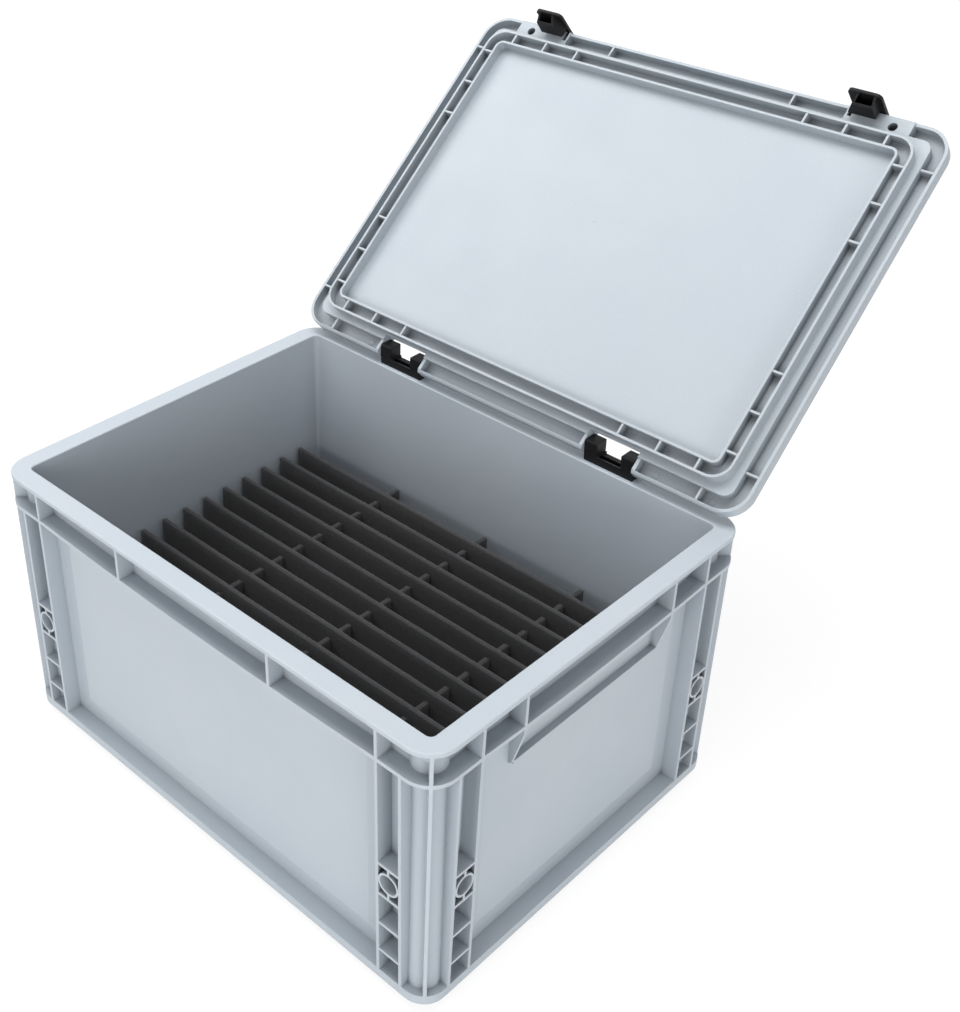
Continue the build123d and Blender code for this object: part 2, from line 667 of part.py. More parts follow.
# ==================================================================== catches
flap_inner = -width / 2 - catch_gap
flap_outer = flap_inner - catch_flap
flap_top = catch_axis_rise + catch_barrel / 2
hook_top = -rim_thickness - hook_clearance
hook_nose_z = hook_top - hook_height
hook_foot_z = hook_tip_margin - catch_reach
hook_edge = hook_lip - width / 2
nose_edge = hook_nose - width / 2
hook_start = catch_x - catch_width / 2 + hook_inner_margin
hook_end = catch_x + catch_width / 2 - hook_outer_margin
hook_middle = (hook_start + hook_end) / 2
arm_x = catch_x - (catch_width - catch_arm) / 2
for sign, name in ((-1, "catch_left"), (1, "catch_right")):
    with BuildPart() as catch:
        # Wedge that hooks under the rim, narrower at its foot on the inner side.
        with BuildSketch(lid_section(sign * hook_middle)):
            with BuildLine():
                Polyline(
                    (flap_inner, hook_top),
                    (hook_edge, hook_top),
                    (nose_edge, hook_nose_z),
                    (flap_inner, hook_foot_z),
                    close=True,
                )
            make_face()
        extrude(amount=(hook_end - hook_start) / 2, both=True)
        with BuildSketch(lid_elevation(0)):
            with BuildLine():
                Polyline(
                    (sign * hook_start, hook_top - hook_wall),
                    (sign * (hook_start + hook_inner_taper), -catch_reach),
                    (sign * hook_start, -catch_reach),
                    close=True,
                )
            make_face()
        extrude(amount=width, both=True, mode=Mode.SUBTRACT)
        # The wedge is hollow and open towards the tip.
        pocket_start = hook_start + hook_wall
        pocket_end = hook_end - hook_wall
        with BuildSketch(lid_elevation(nose_edge - hook_wall)):
            with BuildLine():
                Polyline(
                    (sign * pocket_start, hook_top - hook_wall),
                    (sign * pocket_end, hook_top - hook_wall),
                    (sign * pocket_end, -catch_reach),
                    (sign * (pocket_start + hook_inner_taper), -catch_reach),
                    close=True,
                )
            make_face()
        extrude(amount=nose_edge - hook_wall - flap_inner, mode=Mode.SUBTRACT)
        # Flap with its rounded lower corners.
        with BuildSketch(lid_elevation(flap_inner)):
            with Locations((sign * catch_x, (flap_top - catch_reach) / 2)):
                tab = Rectangle(catch_width, flap_top + catch_reach)
            fillet(tab.vertices().group_by(Axis.Y)[0], radius=catch_corner)
        extrude(amount=catch_flap)
        # Barrel, its link to the flap, and the pivots.
        with BuildSketch(lid_section(sign * catch_x)):
            with Locations((catch_axis_y, catch_axis_rise)):
                Circle(catch_barrel)
            with Locations(((catch_axis_y + flap_inner) / 2, catch_axis_rise)):
                Rectangle(catch_axis_y - flap_inner, catch_barrel)
        extrude(amount=catch_width / 2, both=True)
        with BuildSketch(lid_section(sign * catch_x)):
            with Locations((catch_axis_y, catch_axis_rise)):
                Circle(catch_pivot)
        extrude(amount=catch_width / 2 + catch_side_clearance + catch_pivot_depth, both=True)
        # Arm at the inner end, in the slot of the lid.
        with BuildSketch(lid_section(sign * arm_x)):
            arm_low = catch_axis_rise - catch_arm_drop
            arm_high = catch_axis_rise + catch_arm_rise
            arm_end = catch_axis_y + catch_arm_reach
            with BuildLine():
                Polyline(
                    (flap_inner, arm_low),
                    (catch_axis_y, arm_low),
                    (arm_end, arm_low + catch_arm_corner),
                    (arm_end, arm_high),
                    (flap_inner, arm_high),
                    close=True,
                )
            make_face()
        extrude(amount=catch_arm / 2, both=True)
    catch.part.label = name
    export_step(catch.part, f"parts/{name}.step")


# ==================================================================== phone insert
pad_top_z = floor_z + pad_thickness
pad_length = cavity_length - 2 * (draft_inset(floor_z) + insert_clearance)
pad_width = cavity_width - 2 * (draft_inset(floor_z) + insert_clearance)
with BuildPart() as base_pad:
    with BuildSketch(Plane.XY.offset(floor_z)):
        RectangleRounded(pad_length, pad_width, inner_corner_radius)
    extrude(amount=pad_thickness)
base_pad.part.label = "base_pad"
export_step(base_pad.part, "parts/base_pad.step")

# The boards cross in half-lap joints: long boards are slotted from below, cross boards
# from above, and both sets stand on the pad.
lap_z = pad_top_z + column_board_height / 2
lap_width = board + 2 * lap_clearance
column_positions = (-column_pitch, 0, column_pitch)
row_positions = [
    (index - (row_board_count - 1) / 2) * row_pitch for index in range(row_board_count)
]
for index, board_y in enumerate(row_positions, start=1):
    name = f"row_board_{index:02d}"
    with BuildPart() as row_board:
        with BuildSketch(Plane.XZ.offset(-board_y)):
            with Locations((0, pad_top_z + row_board_height / 2)):
                RectangleRounded(pad_length, row_board_height, board_radius)
            for board_x in column_positions:
                with Locations((board_x, (pad_top_z + lap_z) / 2)):
                    Rectangle(lap_width, lap_z - pad_top_z, mode=Mode.SUBTRACT)
        extrude(amount=board / 2, both=True)
    row_board.part.label = name
    export_step(row_board.part, f"parts/{name}.step")

for board_x, side in zip(column_positions, ("left", "middle", "right")):
    name = f"column_board_{side}"
    with BuildPart() as column_board:
        with BuildSketch(Plane.YZ.offset(board_x)):
            with Locations((0, pad_top_z + column_board_height / 2)):
                RectangleRounded(pad_width, column_board_height, board_radius)
            for board_y in row_positions:
                with Locations((board_y, pad_top_z + column_board_height * 3 / 4)):
                    Rectangle(lap_width, column_board_height / 2, mode=Mode.SUBTRACT)
        extrude(amount=board / 2, both=True)
    column_board.part.label = name
    export_step(column_board.part, f"parts/{name}.step")
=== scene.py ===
"""Phone locker box: finishes, foam insert, studio light and camera around the CAD frame."""

import logging
import math
from dataclasses import dataclass, field
from enum import Enum

import bmesh
import bpy
from mathutils import Euler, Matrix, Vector

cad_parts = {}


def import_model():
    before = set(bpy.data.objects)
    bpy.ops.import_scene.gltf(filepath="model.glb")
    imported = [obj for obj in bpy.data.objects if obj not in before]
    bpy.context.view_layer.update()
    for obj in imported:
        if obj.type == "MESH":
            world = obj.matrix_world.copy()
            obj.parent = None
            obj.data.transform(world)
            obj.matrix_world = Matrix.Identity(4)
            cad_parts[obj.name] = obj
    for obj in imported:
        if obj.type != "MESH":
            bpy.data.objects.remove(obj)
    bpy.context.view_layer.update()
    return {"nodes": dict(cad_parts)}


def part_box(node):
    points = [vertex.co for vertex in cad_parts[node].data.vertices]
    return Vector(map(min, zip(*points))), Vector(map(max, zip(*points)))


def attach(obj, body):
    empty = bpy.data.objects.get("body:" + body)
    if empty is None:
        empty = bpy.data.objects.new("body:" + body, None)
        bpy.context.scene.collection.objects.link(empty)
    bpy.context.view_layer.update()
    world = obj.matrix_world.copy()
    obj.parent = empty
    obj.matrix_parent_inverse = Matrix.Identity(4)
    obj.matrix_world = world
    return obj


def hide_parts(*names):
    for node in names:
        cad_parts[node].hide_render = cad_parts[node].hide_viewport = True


LOG = logging.getLogger("phone_locker_box")
FOAM_BODY = "box"
PROBE_SAMPLES = 6
EDGE_TURN = (0.985, 0.8)  # cosine between flat and rounded normal: where the paler edge of wear and painted highlight starts, is full
Colour = tuple[float, float, float]


class Slot(Enum):
    """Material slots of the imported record."""

    BODY = "body_plastic"
    LID = "lid_plastic"
    BLACK = "black_plastic"
    FOAM = "insert_foam"


class Graph:
    """Small helper that adds shader nodes to a material or a world and links them."""

    def __init__(self, owner: bpy.types.Material | bpy.types.World) -> None:
        """Start with an empty node tree.

        Args:
            owner: Material or world that gets the nodes.
        """
        owner.use_nodes = True
        self.tree = owner.node_tree
        self.tree.nodes.clear()

    def node(self, kind: str, **values: object) -> bpy.types.Node:
        """Add a node and set its properties.

        Args:
            kind: Blender's type name of the node.
            values: Properties of the node by name.

        Returns:
            The new node.
        """
        node = self.tree.nodes.new(kind)
        for key, value in values.items():
            setattr(node, key, value)
        return node

    def link(self, source: bpy.types.NodeSocket, target: bpy.types.NodeSocket) -> None:
        """Connect an output socket to an input socket."""
        self.tree.links.new(source, target)

    def noise(self, place: bpy.types.NodeSocket, scale: float, detail: float) -> bpy.types.Node:
        """Add a noise texture.

        Args:
            place: Coordinates to read it at.
            scale: Features per metre.
            detail: Number of finer octaves.

        Returns:
            The noise node.
        """
        node = self.node("ShaderNodeTexNoise")
        node.inputs["Scale"].default_value = scale
        node.inputs["Detail"].default_value = detail
        self.link(place, node.inputs["Vector"])
        return node

    def remap(
        self, value: bpy.types.NodeSocket, low: float, high: float, to_low: float, to_high: float
    ) -> bpy.types.NodeSocket:
        """Map a value from one range to another, clamped.

        Args:
            value: Socket to map.
            low: Start of the range read.
            high: End of the range read.
            to_low: Result at low.
            to_high: Result at high.

        Returns:
            The mapped value's socket.
        """
        node = self.node("ShaderNodeMapRange")
        for name, number in (
            ("From Min", low),
            ("From Max", high),
            ("To Min", to_low),
            ("To Max", to_high),
        ):
            node.inputs[name].default_value = number
        self.link(value, node.inputs["Value"])
        return node.outputs["Result"]

    def mix(
        self, factor: bpy.types.NodeSocket, first: object, second: object
    ) -> bpy.types.NodeSocket:
        """Blend two colours.

        Args:
            factor: Socket that holds the share of the second colour.
            first: Colour, or the socket of one.
            second: Colour, or the socket of one.

        Returns:
            The blended colour's socket.
        """
        node = self.node("ShaderNodeMix", data_type="RGBA")
        self.link(factor, node.inputs["Factor"])
        for name, colour in (("A", first), ("B", second)):
            socket = next(s for s in node.inputs if s.name == name and s.type == "RGBA")
            if isinstance(colour, bpy.types.NodeSocket):
                self.link(colour, socket)
            else:
                socket.default_value = (*colour, 1.0)
        return next(s for s in node.outputs if s.type == "RGBA")

    def bump(
        self,
        height: bpy.types.NodeSocket,
        distance: float,
        strength: float,
        normal: bpy.types.NodeSocket,
    ) -> bpy.types.NodeSocket:
        """Add a bump on top of a normal.

        Args:
            height: Height map.
            distance: Height in metres of a full step of the map.
            strength: Share of the bump that is used.
            normal: Normal that the bump is added to.

        Returns:
            The bumped normal's socket.
        """
        node = self.node("ShaderNodeBump")
        node.inputs["Strength"].default_value = strength
        node.inputs["Distance"].default_value = distance
        self.link(height, node.inputs["Height"])
        self.link(normal, node.inputs["Normal"])
        return node.outputs["Normal"]


@dataclass(frozen=True)
class MouldedPlastic:
    """Injection-moulded plastic with spark-eroded grain, softened edges that are paler from wear
    and from painted highlight, and painted shade in its crevices and pockets.
    """

    name: str
    colour: Colour
    cool_tint: Colour
    # Pale colour of the specks, and of the paler edges that are partly wear and partly painted
    # highlight.
    wear_and_highlight_colour: Colour
    roughness: float
    roughness_spread: float
    grain_scale: float = 2400.0
    grain_depth: float = 0.00006
    grain_strength: float = 0.6
    ripple_scale: float = 45.0
    ripple_depth: float = 0.0006
    ripple_strength: float = 0.35
    cloud_scale: float = 9.0
    speck_scale: float = 900.0
    speck_share: float = 0.25
    handling_scale: float = 28.0
    edge_radius: float = 0.0006
    # Strength of the paler edges: partly wear, partly painted highlight.
    edge_wear_and_highlight: float = 0.5
    # Painted shade: ambient occlusion darkens the base colour in crevices and in the pockets
    # between ribs.
    crevice_reach: float = 0.009
    crevice_openness: tuple[float, float] = (0.12, 0.5)
    crevice_shade: float = 0.30
    pocket_reach: float = 0.030
    pocket_openness: tuple[float, float] = (0.3, 0.85)
    pocket_shade: float = 0.82
    specular: float = 0.5

    def painted_shade_factor(
        self, graph: Graph, reach: float, openness: tuple[float, float], darkest: float
    ) -> bpy.types.NodeSocket:
        """Painted shade: factor that darkens the base colour where the piece itself closes in
        around it, read from ambient occlusion.

        Args:
            graph: Material graph to add the nodes to.
            reach: Distance in metres up to which other faces count.
            openness: Share of open sky at which the factor is darkest, and where it ends.
            darkest: Factor in the narrowest places.

        Returns:
            Socket of the factor, 1 on open faces.
        """
        node = graph.node("ShaderNodeAmbientOcclusion", samples=PROBE_SAMPLES, only_local=True)
        node.inputs["Distance"].default_value = reach
        return graph.remap(node.outputs["AO"], *openness, darkest, 1.0)

    def build(self) -> bpy.types.Material:
        """Make the material.

        Returns:
            The finished material.
        """
        material = bpy.data.materials.new(self.name)
        graph = Graph(material)
        place = graph.node("ShaderNodeTexCoord").outputs["Object"]
        shader = graph.node("ShaderNodeBsdfPrincipled")
        shader.inputs["Specular IOR Level"].default_value = self.specular

        # Edges: the rounded normal departs from the flat one there.
        rounded = graph.node("ShaderNodeBevel", samples=PROBE_SAMPLES)
        rounded.inputs["Radius"].default_value = self.edge_radius
        flat = graph.node("ShaderNodeNewGeometry")
        along = graph.node("ShaderNodeVectorMath", operation="DOT_PRODUCT")
        graph.link(rounded.outputs["Normal"], along.inputs[0])
        graph.link(flat.outputs["Normal"], along.inputs[1])
        edge = graph.remap(along.outputs["Value"], *EDGE_TURN, 0.0, self.edge_wear_and_highlight)

        # Colour: slow clouds in the pigment, faint specks, and paler edges that are partly wear
        # and partly painted highlight.
        clouds = graph.noise(place, self.cloud_scale, 3.0)
        specks = graph.noise(place, self.speck_scale, 2.0)
        tint = graph.mix(
            graph.remap(clouds.outputs["Fac"], 0.35, 0.65, 0.0, 1.0), self.colour, self.cool_tint
        )
        speckled = graph.mix(
            graph.remap(specks.outputs["Fac"], 0.62, 0.75, 0.0, self.speck_share),
            tint,
            self.wear_and_highlight_colour,
        )
        worn_and_highlit = graph.mix(edge, speckled, self.wear_and_highlight_colour)

        # Painted shade: ambient occlusion darkens the base colour in narrow crevices and in the
        # pockets between ribs.
        crevices = self.painted_shade_factor(
            graph, self.crevice_reach, self.crevice_openness, self.crevice_shade
        )
        pockets = self.painted_shade_factor(
            graph, self.pocket_reach, self.pocket_openness, self.pocket_shade
        )
        shade = graph.node("ShaderNodeMath", operation="MULTIPLY")
        graph.link(crevices, shade.inputs[0])
        graph.link(pockets, shade.inputs[1])
        shaded = graph.node("ShaderNodeVectorMath", operation="SCALE")
        graph.link(worn_and_highlit, shaded.inputs[0])
        graph.link(shade.outputs["Value"], shaded.inputs["Scale"])
        graph.link(shaded.outputs["Vector"], shader.inputs["Base Color"])

        # Roughness: polished patches from handling.
        handling = graph.noise(place, self.handling_scale, 4.0)
        graph.link(
            graph.remap(
                handling.outputs["Fac"],
                0.3,
                0.7,
                self.roughness - self.roughness_spread,
                self.roughness + self.roughness_spread,
            ),
            shader.inputs["Roughness"],
        )

        # Surface: mould grain over slow sink marks.
        grain = graph.noise(place, self.grain_scale, 2.0)
        ripple = graph.noise(place, self.ripple_scale, 1.0)
        waved = graph.bump(
            ripple.outputs["Fac"],
            self.ripple_depth,
            self.ripple_strength,
            rounded.outputs["Normal"],
        )
        grained = graph.bump(grain.outputs["Fac"], self.grain_depth, self.grain_strength, waved)
        graph.link(grained, shader.inputs["Normal"])

        output = graph.node("ShaderNodeOutputMaterial")
        graph.link(shader.outputs["BSDF"], output.inputs["Surface"])
        return material


@dataclass(frozen=True)
class CellFoam:
    """Black closed-cell foam with cut faces that show its cells."""

    name: str
    colour: Colour
    cell_rim: Colour
    cell_scale: float = 900.0
    cell_depth: float = 0.0004
    pit_strength: float = 0.5
    lump_scale: float = 260.0
    lump_depth: float = 0.0005
    cloud_scale: float = 60.0
    dust_share: float = 0.4
    roughness: float = 0.85
    roughness_spread: float = 0.08
    specular: float = 0.3
    sheen: float = 0.25
    sheen_roughness: float = 0.6

    def build(self) -> bpy.types.Material:
        """Make the material.

        Returns:
            The finished material.
        """
        material = bpy.data.materials.new(self.name)
        graph = Graph(material)
        place = graph.node("ShaderNodeTexCoord").outputs["Object"]
        shader = graph.node("ShaderNodeBsdfPrincipled")
        shader.inputs["Specular IOR Level"].default_value = self.specular
        shader.inputs["Sheen Weight"].default_value = self.sheen
        shader.inputs["Sheen Roughness"].default_value = self.sheen_roughness

        # Colour: paler rims around the cells, and dust in slow clouds.
        cells = graph.node("ShaderNodeTexVoronoi", feature="DISTANCE_TO_EDGE")
        cells.inputs["Scale"].default_value = self.cell_scale
        graph.link(place, cells.inputs["Vector"])
        clouds = graph.noise(place, self.cloud_scale, 4.0)
        rims = graph.remap(cells.outputs["Distance"], 0.0, 0.12, 1.0, 0.0)
        base = graph.mix(rims, self.colour, self.cell_rim)
        dusty = graph.mix(
            graph.remap(clouds.outputs["Fac"], 0.5, 0.75, 0.0, self.dust_share),
            base,
            self.cell_rim,
        )
        graph.link(dusty, shader.inputs["Base Color"])
        graph.link(
            graph.remap(
                clouds.outputs["Fac"],
                0.3,
                0.7,
                self.roughness - self.roughness_spread,
                self.roughness + self.roughness_spread,
            ),
            shader.inputs["Roughness"],
        )

        # Surface: open cells over the lumps that the knife leaves.
        flat = graph.node("ShaderNodeNewGeometry")
        pits = graph.bump(
            cells.outputs["Distance"], self.cell_depth, self.pit_strength, flat.outputs["Normal"]
        )
        lumps = graph.noise(place, self.lump_scale, 3.0)
        cut = graph.bump(lumps.outputs["Fac"], self.lump_depth, self.pit_strength, pits)
        graph.link(cut, shader.inputs["Normal"])
        output = graph.node("ShaderNodeOutputMaterial")
        graph.link(shader.outputs["BSDF"], output.inputs["Surface"])
        return material


BODY_GREY = MouldedPlastic(
    name="moulded_grey_body",
    colour=(0.455, 0.500, 0.545),
    cool_tint=(0.440, 0.490, 0.540),
    wear_and_highlight_colour=(0.60, 0.64, 0.68),
    roughness=0.46,
    roughness_spread=0.07,
)
LID_GREY = MouldedPlastic(
    name="moulded_grey_lid",
    colour=(0.393, 0.437, 0.474),
    cool_tint=(0.381, 0.427, 0.470),
    wear_and_highlight_colour=(0.62, 0.66, 0.70),
    roughness=0.40,
    roughness_spread=0.06,
)
HARDWARE_BLACK = MouldedPlastic(
    name="moulded_black_hardware",
    colour=(0.009, 0.009, 0.010),
    cool_tint=(0.011, 0.011, 0.012),
    wear_and_highlight_colour=(0.040, 0.040, 0.043),
    roughness=0.42,
    roughness_spread=0.08,
    specular=0.14,
    ripple_depth=0.0003,
    edge_radius=0.0005,
    # Strong paler edges: painted edge highlight and some wear.
    edge_wear_and_highlight=0.8,
)
INSERT_BLACK = CellFoam(
    name="black_cell_foam",
    colour=(0.010, 0.010, 0.011),
    cell_rim=(0.032, 0.032, 0.034),
)


def dress(node: bpy.types.Object, material: bpy.types.Material) -> None:
    """Give a CAD node its finish.

    Args:
        node: The CAD node's object.
        material: The finish.
    """
    node.data.materials.clear()
    node.data.materials.append(material)


def socket_id(tree: bpy.types.NodeTree, name: str) -> str:
    """Identifier of a tree's named input.

    Args:
        tree: The Geometry Nodes tree.
        name: The input's name.

    Returns:
        The socket's identifier.
    """
    return next(item.identifier for item in tree.interface.items_tree if item.name == name)


@dataclass
class BoardRow:
    """Geometry Nodes tree that repeats a foam board along a line and softens it."""

    count: int
    first: Vector
    step: Vector
    waviness: float = 0.0007
    wave_scale: float = 14.0

    def tree(self, material: bpy.types.Material) -> bpy.types.NodeTree:
        """Build the tree.

        Args:
            material: Finish of the boards.

        Returns:
            The Geometry Nodes tree.
        """
        tree = bpy.data.node_groups.new("foam_boards", "GeometryNodeTree")
        face = tree.interface
        face.new_socket("Board", in_out="INPUT", socket_type="NodeSocketGeometry")
        face.new_socket("Count", in_out="INPUT", socket_type="NodeSocketInt")
        face.new_socket("First", in_out="INPUT", socket_type="NodeSocketVector")
        face.new_socket("Step", in_out="INPUT", socket_type="NodeSocketVector")
        face.new_socket("Waviness", in_out="INPUT", socket_type="NodeSocketFloat")
        face.new_socket("Wave Scale", in_out="INPUT", socket_type="NodeSocketFloat")
        face.new_socket("Boards", in_out="OUTPUT", socket_type="NodeSocketGeometry")
        add, link = tree.nodes.new, tree.links.new
        source = add("NodeGroupInput")
        line = add("GeometryNodeMeshLine")
        link(source.outputs["Count"], line.inputs["Count"])
        link(source.outputs["First"], line.inputs["Start Location"])
        link(source.outputs["Step"], line.inputs["Offset"])
        copies = add("GeometryNodeInstanceOnPoints")
        link(line.outputs["Mesh"], copies.inputs["Points"])
        link(source.outputs["Board"], copies.inputs["Instance"])
        real = add("GeometryNodeRealizeInstances")
        link(copies.outputs["Instances"], real.inputs["Geometry"])

        # Cut foam never stands perfectly flat: each board leans and bows a little.
        waves = add("ShaderNodeTexNoise")
        waves.inputs["Detail"].default_value = 1.0
        link(source.outputs["Wave Scale"], waves.inputs["Scale"])
        centred = add("ShaderNodeVectorMath")
        centred.operation = "SUBTRACT"
        centred.inputs[1].default_value = (0.5, 0.5, 0.5)
        link(waves.outputs["Color"], centred.inputs[0])
        scaled = add("ShaderNodeVectorMath")
        scaled.operation = "SCALE"
        link(centred.outputs["Vector"], scaled.inputs[0])
        link(source.outputs["Waviness"], scaled.inputs["Scale"])
        moved = add("GeometryNodeSetPosition")
        link(real.outputs["Geometry"], moved.inputs["Geometry"])
        link(scaled.outputs["Vector"], moved.inputs["Offset"])
        finish = add("GeometryNodeSetMaterial")
        finish.inputs["Material"].default_value = material
        link(moved.outputs["Geometry"], finish.inputs["Geometry"])
        link(finish.outputs["Geometry"], add("NodeGroupOutput").inputs["Boards"])
        return tree

    def repeat(self, board: bpy.types.Object, material: bpy.types.Material) -> None:
        """Turn one board into the whole row.

        Args:
            board: Object with the mesh of one board; it gets the mesh of the row.
            material: Finish of the boards.
        """
        tree = self.tree(material)
        modifier = board.modifiers.new("boards", "NODES")
        modifier.node_group = tree
        modifier[socket_id(tree, "Count")] = self.count
        modifier[socket_id(tree, "First")] = self.first
        modifier[socket_id(tree, "Step")] = self.step
        modifier[socket_id(tree, "Waviness")] = self.waviness
        modifier[socket_id(tree, "Wave Scale")] = self.wave_scale
        bake(board)


def bake(piece: bpy.types.Object) -> None:
    """Replace a piece's mesh by its evaluated mesh and drop its modifiers.

    Args:
        piece: The object to settle.
    """
    graph = bpy.context.evaluated_depsgraph_get()
    settled = bpy.data.meshes.new_from_object(piece.evaluated_get(graph))
    piece.modifiers.clear()
    piece.data = settled


@dataclass
class FoamInsert:
    """Boards of black foam that stand the phones upright, on a foam pad."""

    nodes: dict[str, bpy.types.Object]
    material: bpy.types.Material
    grid: float = 0.006
    edge: float = 0.0007
    lap_clearance: float = 0.00025
    rounded_angle: float = math.radians(40)
    smooth_angle: float = math.radians(50)
    rows: list[str] = field(init=False)
    columns: list[str] = field(init=False)

    def __post_init__(self) -> None:
        """Find the CAD boards in order."""
        self.rows = sorted(name for name in self.nodes if name.startswith("row_board"))
        self.columns = sorted(
            (name for name in self.nodes if name.startswith("column_board")),
            key=lambda name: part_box(name)[0].x,
        )

    def steps(self, low: float, high: float, cuts: list[float]) -> list[float]:
        """Grid lines between two ends that also pass through every cut.

        Args:
            low: First line.
            high: Last line.
            cuts: Places that need a line of their own.

        Returns:
            The sorted lines.
        """
        marks = sorted({low, high, *cuts})
        lines: list[float] = []
        for start, end in zip(marks, marks[1:]):
            parts = max(1, round((end - start) / self.grid))
            lines += [start + (end - start) * index / parts for index in range(parts)]
        return [*lines, high]

    def slab(
        self,
        name: str,
        across: list[float],
        up: list[float],
        thickness: float,
        gaps: list[tuple[float, float, float, float]],
        along_x: bool,
    ) -> bpy.types.Object:
        """One standing board, centred on its own thickness.

        Args:
            name: Name of the object.
            across: Grid lines along the board.
            up: Grid lines up the board.
            thickness: Thickness of the foam.
            gaps: Slots as low and high along the board, then low and high in height.
            along_x: True for a board along X, False for one along Y.

        Returns:
            The board's object, not yet finished.
        """
        mesh = bmesh.new()
        sides: list[list[list[bmesh.types.BMVert]]] = []
        for offset in (-thickness / 2, thickness / 2):
            rows = []
            for height in up:
                places = [(v, offset, height) if along_x else (offset, v, height) for v in across]
                rows.append([mesh.verts.new(place) for place in places])
            sides.append(rows)

        def solid(column: int, row: int) -> bool:
            """Whether a cell of the grid is foam.

            Args:
                column: Place of the cell along the board.
                row: Place of the cell up the board.

            Returns:
                True for foam, False in a slot or past an edge.
            """
            if not (0 <= column < len(across) - 1 and 0 <= row < len(up) - 1):
                return False
            middle = (across[column] + across[column + 1]) / 2
            height = (up[row] + up[row + 1]) / 2
            return not any(a < middle < b and c < height < d for a, b, c, d in gaps)

        front, back = sides
        for row in range(len(up) - 1):
            for column in range(len(across) - 1):
                if not solid(column, row):
                    continue
                corners = [
                    (row, column),
                    (row, column + 1),
                    (row + 1, column + 1),
                    (row + 1, column),
                ]
                mesh.faces.new([front[r][c] for r, c in corners])
                mesh.faces.new([back[r][c] for r, c in reversed(corners)])
                beside = (
                    (column, row - 1),
                    (column + 1, row),
                    (column, row + 1),
                    (column - 1, row),
                )
                for index, cell in enumerate(beside):
                    if solid(*cell):
                        continue
                    r0, c0 = corners[index]
                    r1, c1 = corners[(index + 1) % 4]
                    mesh.faces.new([front[r1][c1], front[r0][c0], back[r0][c0], back[r1][c1]])
        loose = [vertex for vertex in mesh.verts if not vertex.link_faces]
        bmesh.ops.delete(mesh, geom=loose, context="VERTS")
        bmesh.ops.recalc_face_normals(mesh, faces=mesh.faces)
        sharp = [edge for edge in mesh.edges if edge.calc_face_angle(0.0) > self.rounded_angle]
        bmesh.ops.bevel(
            mesh, geom=sharp, offset=self.edge, segments=2, profile=0.5, affect="EDGES"
        )
        data = bpy.data.meshes.new(name)
        mesh.to_mesh(data)
        mesh.free()
        board = bpy.data.objects.new(name, data)
        bpy.context.scene.collection.objects.link(board)
        return board

    def finish(self, piece: bpy.types.Object, replaced: list[str]) -> None:
        """Smooth a piece and put it in the place of its CAD nodes.

        Args:
            piece: The finished foam mesh.
            replaced: CAD nodes that it stands for.
        """
        for polygon in piece.data.polygons:
            polygon.use_smooth = True
        piece.data.set_sharp_from_angle(angle=self.smooth_angle)
        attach(piece, FOAM_BODY)
        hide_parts(*replaced)
        LOG.info("built %s for %d nodes", piece.name, len(replaced))

    def row_boards(self) -> None:
        """Long boards, slotted from below over the cross boards."""
        low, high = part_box(self.rows[0])
        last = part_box(self.rows[-1])[0]
        lap_top = self.lap_height()
        gaps = []
        for name in self.columns:
            left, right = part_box(name)
            gaps.append((left.x - self.lap_clearance, right.x + self.lap_clearance, 0.0, lap_top))
        cuts = [edge for gap in gaps for edge in gap[:2]]
        across = self.steps(low.x, high.x, cuts)
        up = self.steps(low.z, high.z, [lap_top])
        board = self.slab("row_boards", across, up, high.y - low.y, gaps, True)
        count = len(self.rows)
        step = (last.y - low.y) / (count - 1)
        first = Vector((0.0, (low.y + high.y) / 2, 0.0))
        BoardRow(count, first, Vector((0.0, step, 0.0))).repeat(board, self.material)
        self.finish(board, self.rows)

    def cross_boards(self) -> None:
        """Short boards across the width, slotted from above."""
        low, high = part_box(self.columns[0])
        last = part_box(self.columns[-1])[0]
        lap_top = self.lap_height()
        gaps = []
        for name in self.rows:
            front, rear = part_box(name)
            clear = self.lap_clearance
            gaps.append((front.y - clear, rear.y + clear, lap_top, high.z + clear))
        cuts = [edge for gap in gaps for edge in gap[:2]]
        across = self.steps(low.y, high.y, cuts)
        up = self.steps(low.z, high.z, [lap_top])
        board = self.slab("cross_boards", across, up, high.x - low.x, gaps, False)
        count = len(self.columns)
        step = (last.x - low.x) / (count - 1)
        first = Vector(((low.x + high.x) / 2, 0.0, 0.0))
        BoardRow(count, first, Vector((step, 0.0, 0.0))).repeat(board, self.material)
        self.finish(board, self.columns)

    def lap_height(self) -> float:
        """Height at which the two sets of boards meet.

        Returns:
            The height in metres above the floor.
        """
        low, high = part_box(self.columns[0])
        return (low.z + high.z) / 2

    def base_pad(self) -> None:
        """Pad on the floor of the box."""
        low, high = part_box("base_pad")
        mesh = bmesh.new()
        bmesh.ops.create_cube(mesh, size=1.0)
        size = high - low
        middle = (high + low) / 2
        for vertex in mesh.verts:
            vertex.co = Vector(a * b + c for a, b, c in zip(vertex.co, size, middle))
        bmesh.ops.bevel(
            mesh,
            geom=list(mesh.edges),
            offset=2 * self.edge,
            segments=3,
            profile=0.5,
            affect="EDGES",
        )
        data = bpy.data.meshes.new("base_pad_foam")
        mesh.to_mesh(data)
        mesh.free()
        data.materials.append(self.material)
        pad = bpy.data.objects.new("base_pad_foam", data)
        bpy.context.scene.collection.objects.link(pad)
        self.finish(pad, ["base_pad"])

    def build(self) -> None:
        """Build every piece of the insert."""
        self.base_pad()
        self.row_boards()
        self.cross_boards()


